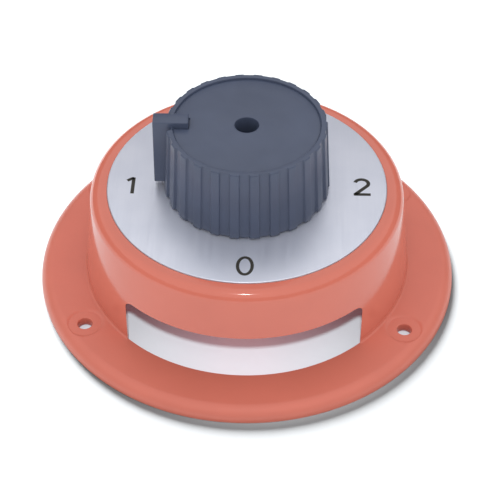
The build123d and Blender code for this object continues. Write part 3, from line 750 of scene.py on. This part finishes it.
# ---- materials ---------------------------------------------------------------------------------
class Shader:
    """Node material built from a Principled BSDF and object-space coordinates."""

    def __init__(self, name):
        self.material = bpy.data.materials.new(name)
        self.material.use_nodes = True
        self.tree = self.material.node_tree
        self.bsdf = self.tree.nodes["Principled BSDF"]
        coords = self.tree.nodes.new("ShaderNodeTexCoord")
        self.position = coords.outputs["Object"]

    def set(self, **values):
        """Sets sockets of the BSDF by name, with _ for a space."""
        for key, value in values.items():
            self.bsdf.inputs[key.replace("_", " ")].default_value = value

    def link(self, output, name):
        """Links an output to a socket of the BSDF."""
        self.tree.links.new(output, self.bsdf.inputs[name])

    def node(self, kind, **values):
        made = self.tree.nodes.new(kind)
        for key, value in values.items():
            setattr(made, key, value)
        return made

    def stretched(self, scale):
        """Coordinates scaled by a factor along each axis."""
        mapping = self.node("ShaderNodeMapping")
        mapping.inputs["Scale"].default_value = scale
        self.tree.links.new(self.position, mapping.inputs["Vector"])
        return mapping.outputs["Vector"]

    def axis(self, name):
        """One coordinate of the surface point, in metres."""
        parts = self.node("ShaderNodeSeparateXYZ")
        self.tree.links.new(self.position, parts.inputs["Vector"])
        return parts.outputs[name]

    def noise(self, scale, detail=4.0, rough=0.55, vector=None):
        noise = self.node("ShaderNodeTexNoise")
        noise.inputs["Scale"].default_value = scale
        noise.inputs["Detail"].default_value = detail
        noise.inputs["Roughness"].default_value = rough
        self.tree.links.new(vector or self.position, noise.inputs["Vector"])
        return noise.outputs["Fac"]

    def ramp(self, factor, stops):
        """Colour ramp through (place, colour) stops."""
        ramp = self.node("ShaderNodeValToRGB")
        elements = ramp.color_ramp.elements
        for element, (place, colour) in zip(elements, stops):
            element.position = place
            element.color = (*colour, 1.0)
        self.tree.links.new(factor, ramp.inputs["Fac"])
        return ramp.outputs["Color"]

    def span(self, value, given, wanted):
        """Maps a value from one range to another and holds it at the ends."""
        made = self.node("ShaderNodeMapRange")
        for name, number in zip(("From Min", "From Max", "To Min", "To Max"), (*given, *wanted)):
            made.inputs[name].default_value = number
        self.tree.links.new(value, made.inputs["Value"])
        return made.outputs["Result"]

    def level(self, factor, low, high):
        """Stretches the middle of a noise to a range."""
        return self.span(factor, (0.3, 0.7), (low, high))

    def more_below(self, value, extra, heights):
        """The value plus an extra that fades to nothing between two heights in metres."""
        total = self.node("ShaderNodeMath", operation="ADD")
        self.tree.links.new(value, total.inputs[0])
        self.tree.links.new(self.span(self.axis("Z"), heights, (extra, 0.0)), total.inputs[1])
        return total.outputs["Value"]

    def across(self, middle, sides, reach):
        """A value that runs from the middle's to the sides' between two distances along X in metres."""
        away = self.node("ShaderNodeMath", operation="ABSOLUTE")
        self.tree.links.new(self.axis("X"), away.inputs[0])
        return self.span(away.outputs["Value"], reach, (middle, sides))

    def bump(self, height, strength, distance):
        bump = self.node("ShaderNodeBump")
        bump.inputs["Strength"].default_value = strength
        bump.inputs["Distance"].default_value = distance
        self.tree.links.new(height, bump.inputs["Height"])
        self.link(bump.outputs["Normal"], "Normal")


def plastic(name, colour, rough, spread, grain, relief, matt=0.0, matt_to=(0.0, 1.0), **extra):
    """Moulded plastic: a soft colour drift, flow marks in the gloss and a fine surface texture.

    The lower part can be less polished: matt is added to its roughness, fading out between two heights.
    """
    shader = Shader(name)
    drift = shader.noise(38.0, 3.0)
    darker = tuple(c * (1 - spread) for c in colour)
    lighter = tuple(min(1.0, c * (1 + spread)) for c in colour)
    shader.link(shader.ramp(drift, [(0.3, darker), (0.7, lighter)]), "Base Color")
    gloss = shader.level(shader.noise(140.0, 5.0), rough * 0.85, rough * 1.2)
    if matt:
        gloss = shader.more_below(gloss, matt, matt_to)
    shader.link(gloss, "Roughness")
    shader.bump(shader.noise(grain, 4.0), 0.35, relief)
    shader.set(**extra)
    return shader.material


def metal(name, colour, rough, grain=(1.0, 1.0, 1.0), scale=400.0, relief=0.00002, tarnish=0.1):
    """Metal with a fine directional finish and slightly uneven tone."""
    shader = Shader(name)
    tone = shader.noise(90.0, 4.0)
    darker = tuple(c * (1 - tarnish) for c in colour)
    shader.link(shader.ramp(tone, [(0.3, darker), (0.7, colour)]), "Base Color")
    finish = shader.noise(scale, 3.0, vector=shader.stretched(grain))
    shader.link(shader.level(finish, rough * 0.8, rough * 1.25), "Roughness")
    shader.bump(finish, 0.25, relief)
    shader.set(Metallic=1.0)
    return shader.material


def dial_metal():
    """Satin anodised plate with a fine grain brushed across the dial."""
    shader = Shader("dial_aluminium")
    grain = shader.noise(2600.0, 4.0, vector=shader.stretched((1.0, 0.02, 1.0)))
    cloud = shader.noise(55.0, 3.0)
    tones = [(0.3, (0.715, 0.745, 0.855)), (0.7, (0.775, 0.80, 0.905))]
    shader.link(shader.ramp(cloud, tones), "Base Color")
    shader.link(shader.level(grain, 0.32, 0.48), "Roughness")
    shader.bump(grain, 0.3, 0.000015)
    shader.set(Metallic=0.75)
    return shader.material


def give(obj, material):
    """Puts one material on every face of an object."""
    if obj.data.materials:
        for i in range(len(obj.data.materials)):
            obj.material_slots[i].material = material
    else:
        obj.data.materials.append(material)


RED = plastic("red_moulding", (0.60, 0.160, 0.112), rough=0.11, spread=0.04, grain=900.0,
              relief=0.00002, matt=0.26, matt_to=(0.0047, 0.0075), IOR=1.5)
SLATE = plastic("slate_knob", (0.062, 0.078, 0.127), rough=0.33, spread=0.12, grain=1500.0,
                relief=0.00006, IOR=1.5)
INK = plastic("dial_ink", (0.030, 0.027, 0.022), rough=0.5, spread=0.2, grain=2500.0,
              relief=0.00001, IOR=1.45)
BLACK = plastic("black_insulation", (0.022, 0.022, 0.024), rough=0.5, spread=0.15, grain=1300.0,
                relief=0.00008, IOR=1.5)
NYLON = plastic("natural_nylon", (0.70, 0.68, 0.60), rough=0.4, spread=0.05, grain=900.0,
                relief=0.00003, IOR=1.53)
RUBBER = plastic("seal_rubber", (0.015, 0.015, 0.016), rough=0.7, spread=0.15, grain=1600.0,
                 relief=0.00006, IOR=1.5)
BRASS = metal("brass", (0.78, 0.55, 0.22), rough=0.28, grain=(1.0, 1.0, 6.0), scale=500.0, tarnish=0.25)
COPPER = metal("copper", (0.85, 0.42, 0.26), rough=0.30, grain=(1.0, 6.0, 1.0), scale=500.0, tarnish=0.3)
STEEL = metal("bright_steel", (0.62, 0.62, 0.63), rough=0.30, grain=(1.0, 1.0, 5.0), scale=500.0)
SPRING = metal("spring_steel", (0.36, 0.36, 0.38), rough=0.34, grain=(1.0, 1.0, 4.0), scale=700.0,
               tarnish=0.2)
BALL = metal("ball_steel", (0.74, 0.74, 0.75), rough=0.10, scale=300.0, relief=0.000002)
DARK = metal("dark_steel", (0.10, 0.085, 0.08), rough=0.42, scale=600.0, tarnish=0.3)
DIAL = dial_metal()

# material of each CAD node, by the slot that the record names for it
MATERIALS = {
    "red_moulding": RED, "dial_aluminium": DIAL, "knob_plastic": SLATE, "black_insulation": BLACK,
    "brass": BRASS, "copper": COPPER, "bright_steel": STEEL, "dark_steel": DARK,
    "spring_steel": SPRING, "ball_steel": BALL, "seal_rubber": RUBBER, "nylon": NYLON,
}
for part in frame["record"]["subparts"]:
    give(frame["nodes"][part["node"]], MATERIALS[part["material_slot"]])

# ---- pieces over the frame ---------------------------------------------------------------------
housing = make_housing()
give(housing, RED)
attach(housing, "housing")
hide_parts("housing")

dial = make_dial()
give(dial, DIAL)
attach(dial, "housing")
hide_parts("dial_plate")

numerals = make_numerals()
give(numerals, INK)
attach(numerals, "housing")

for node in ("fixing_nuts", "cable_nuts"):
    nuts = make_nuts(node + "_turned", node)
    give(nuts, BRASS)
    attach(nuts, "housing")
    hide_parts(node)

for node, angle in STUD_ANGLES.items():
    stud = make_stud(node + "_threaded", node, angle)
    give(stud, BRASS)
    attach(stud, "housing")
    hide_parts(node)

# each detent spring stretches between the knob's body and its ball
for side in ("rear", "front"):
    node = "detent_spring_" + side
    low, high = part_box(node)
    middle = (low + high) / 2
    spring = make_spring(node + "_coil", node)
    give(spring, SPRING)
    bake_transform(spring, "knob", "detent_ball_" + side, (middle.x, middle.y, low.z), (middle.x, middle.y, high.z))
    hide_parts(node)

knob = make_knob()
give(knob, SLATE)
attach(knob, "knob")
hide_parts("knob")


# ---- floor -------------------------------------------------------------------------------------
FLOOR_SEAM_R = 66.5       # where the two floors meet, hidden under the flange
FLOOR_R = 4000.0
STAGE_SIDES = 128


def hide_from(obj, *rays):
    """Makes an object or a light invisible to some kinds of ray."""
    for ray in rays:
        setattr(obj, "visible_" + ray, False)


def flat_ring(name, inner, outer, height):
    """Flat ring between two circles, or a disc if the inner radius is 0."""
    bm = bmesh.new()
    far = disc_outline(outer, STAGE_SIDES)
    if inner:
        near = [bm.verts.new((x, y, height)) for x, y in disc_outline(inner, STAGE_SIDES)]
        far = [bm.verts.new((x, y, height)) for x, y in far]
        for k in range(STAGE_SIDES):
            n = (k + 1) % STAGE_SIDES
            bm.faces.new((near[k], far[k], far[n], near[n]))
    else:
        bm.faces.new([bm.verts.new((x, y, height)) for x, y in far])
    return new_object(name, bm)


def stage_disc(name, inner, outer, colour, glow, tint=(1.0, 1.0, 1.0), side_glow=None):
    """Flat ring of floor just under the object. Its faint glow is painted light, and where it fades towards the
    sides it paints shade.
    """
    floor = flat_ring(name, inner, outer, 0)
    floor.location.z = -0.00002
    shader = Shader(name)
    paper = shader.noise(300.0, 4.0)
    darker = tuple(c * 0.98 for c in colour)
    shader.link(shader.ramp(paper, [(0.3, darker), (0.7, colour)]), "Base Color")
    # the glow is painted light, since the floor is no lamp, and a glow that fades towards the sides paints shade
    # there
    shader.set(Roughness=0.9, Emission_Color=(*tint, 1.0), Emission_Strength=glow)
    if side_glow is not None:
        shader.link(shader.across(glow, side_glow, (0.006, 0.034)), "Emission Strength")
    give(floor, shader.material)
    floor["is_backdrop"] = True
    return floor


def painted_reflection_band(low, high, distance):
    """Dark band round the horizon that only glossy surfaces see: a painted dark reflection, standing in for the
    unlit edge of a studio tent.

    Low and high are elevations in degrees, and the distance is in metres.
    """
    bm = bmesh.new()
    radius = distance / MM
    count = 96
    rings = []
    for elevation in (low, (low + high) / 2, high):
        out = radius * math.cos(math.radians(elevation))
        up = radius * math.sin(math.radians(elevation))
        rings.append([bm.verts.new((x, y, up)) for x, y in disc_outline(out, count)])
    bridge(bm, rings)
    band = new_object("painted_reflection_band", bm)
    shader = Shader("painted_reflection_band")
    tones = [(0.3, (0.05, 0.03, 0.03)), (0.7, (0.08, 0.05, 0.04))]
    shader.link(shader.ramp(shader.noise(2.0, 2.0), tones), "Base Color")
    shader.set(Roughness=1.0)
    give(band, shader.material)
    hide_from(band, "camera", "diffuse", "shadow", "transmission")
    band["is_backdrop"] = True


def shadow_ring():
    """Ring hidden inside the flange that gives the floor light a tight shadow of the flange alone."""
    ring = flat_ring("shadow_ring", 61.8, 67.2, 2.2)
    give(ring, BLACK)
    hide_from(ring, "camera", "diffuse", "glossy", "transmission")
    ring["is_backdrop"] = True
    return ring


floor = stage_disc("floor", FLOOR_SEAM_R, FLOOR_R, (0.232, 0.243, 0.250), glow=0.0)
# painted light: the middle floor glows reddish in place of light bounced off the red housing onto the floor seen
# through the cable window and the screw holes, and its glow, weaker at the sides, paints shade at the window's ends
floor_middle = stage_disc("floor_middle", 0.0, FLOOR_SEAM_R + 0.1, (0.48, 0.60, 0.64), glow=0.255,
                          tint=(1.0, 0.34, 0.42), side_glow=0.115)
ring = shadow_ring()
# painted reflection: a dark band, hidden from the camera, that glossy surfaces such as the drum's shoulder show as
# a dark line
painted_reflection_band(0.0, 34.0, 1.2)


# ---- light -------------------------------------------------------------------------------------
def aimed(name, light, azimuth, elevation, distance, aim=(0.0, 0.0, 0.0)):
    """Places a light round the object and points it at the aim.

    Angles are in degrees; azimuth 0 is in front, at -Y, and 90 at +X. Distance and aim are in metres.
    """
    obj = bpy.data.objects.new(name, light)
    a, e = math.radians(azimuth), math.radians(elevation)
    obj.location = Vector((math.sin(a) * math.cos(e), -math.cos(a) * math.cos(e), math.sin(e))) * distance
    obj.rotation_euler = (obj.location - Vector(aim)).to_track_quat("Z", "Y").to_euler()
    bpy.context.scene.collection.objects.link(obj)
    return obj


def sun(name, azimuth, elevation, strength, softness):
    """Even light from one side; the softness is the angle in degrees that the source fills."""
    light = bpy.data.lights.new(name, "SUN")
    light.energy = strength
    light.angle = math.radians(softness)
    return aimed(name, light, azimuth, elevation, 1.0)


def softbox(name, azimuth, elevation, distance, size, power):
    """Square lamp with soft edges to its shadows."""
    light = bpy.data.lights.new(name, "AREA")
    light.size = size
    light.energy = power
    return aimed(name, light, azimuth, elevation, distance)


def spot(name, azimuth, elevation, distance, aim, size, cone, power):
    """Narrow lamp whose cone, in degrees, reaches only the surface round its aim."""
    light = bpy.data.lights.new(name, "SPOT")
    light.shadow_soft_size = size
    light.energy = power
    light.spot_size = math.radians(cone)
    light.spot_blend = 0.1
    return aimed(name, light, azimuth, elevation, distance, aim)


def only_for(light, shown=(), hidden=()):
    """Light linking: the light reaches the shown objects, or all but the hidden ones."""
    group = bpy.data.collections.new(light.name + "_reach")
    light.light_linking.receiver_collection = group
    for obj in (*shown, *hidden):
        group.objects.link(obj)
    for i in range(len(hidden)):
        group.collection_objects[i].light_linking.link_state = "EXCLUDE"


def only_blocked_by(light, blocker):
    """Shadow linking: only this object casts a shadow in the light."""
    group = bpy.data.collections.new(light.name + "_blockers")
    light.light_linking.blocker_collection = group
    group.objects.link(blocker)


world = bpy.data.worlds.new("studio")
world.use_nodes = True
background = world.node_tree.nodes["Background"]
background.inputs["Color"].default_value = (1.0, 1.0, 1.0, 1.0)
background.inputs["Strength"].default_value = 0.95
bpy.context.scene.world = world

# the glint on the shoulder's front
glint = spot("glint", azimuth=0, elevation=69, distance=0.9, aim=(0.0, -0.0475, 0.035), size=0.018,
             cone=2.3, power=5.0)
hide_from(glint, "diffuse")

# soft light from above for the object alone
top_light = sun("top_light", azimuth=0, elevation=69, strength=0.62, softness=25)
hide_from(top_light, "glossy")
only_for(top_light, hidden=(floor, floor_middle))

# the floor outside, with the flange's shadow, and the floor seen through the cable window
floor_light = sun("floor_light", azimuth=200, elevation=26, strength=24.8, softness=30)
only_for(floor_light, shown=(floor,))
only_blocked_by(floor_light, ring)
window_light = softbox("window_light", azimuth=1.6, elevation=51.6, distance=0.56, size=0.03, power=2.75)
only_for(window_light, shown=(floor_middle,))

# ---- camera ------------------------------------------------------------------------------------
camera_data = bpy.data.cameras.new("camera")
camera_data.lens = 100.05
camera_data.sensor_width = 36.0
camera = bpy.data.objects.new("camera", camera_data)
camera.location = (0.00944, -0.32782, 0.32395)
aim = Vector((0.000966, 0.0, 0.006414))
camera.rotation_euler = (aim - camera.location).to_track_quat("-Z", "Y").to_euler()
bpy.context.scene.collection.objects.link(camera)
bpy.context.scene.camera = camera
bpy.context.scene.view_settings.view_transform = "Standard"

low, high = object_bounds()
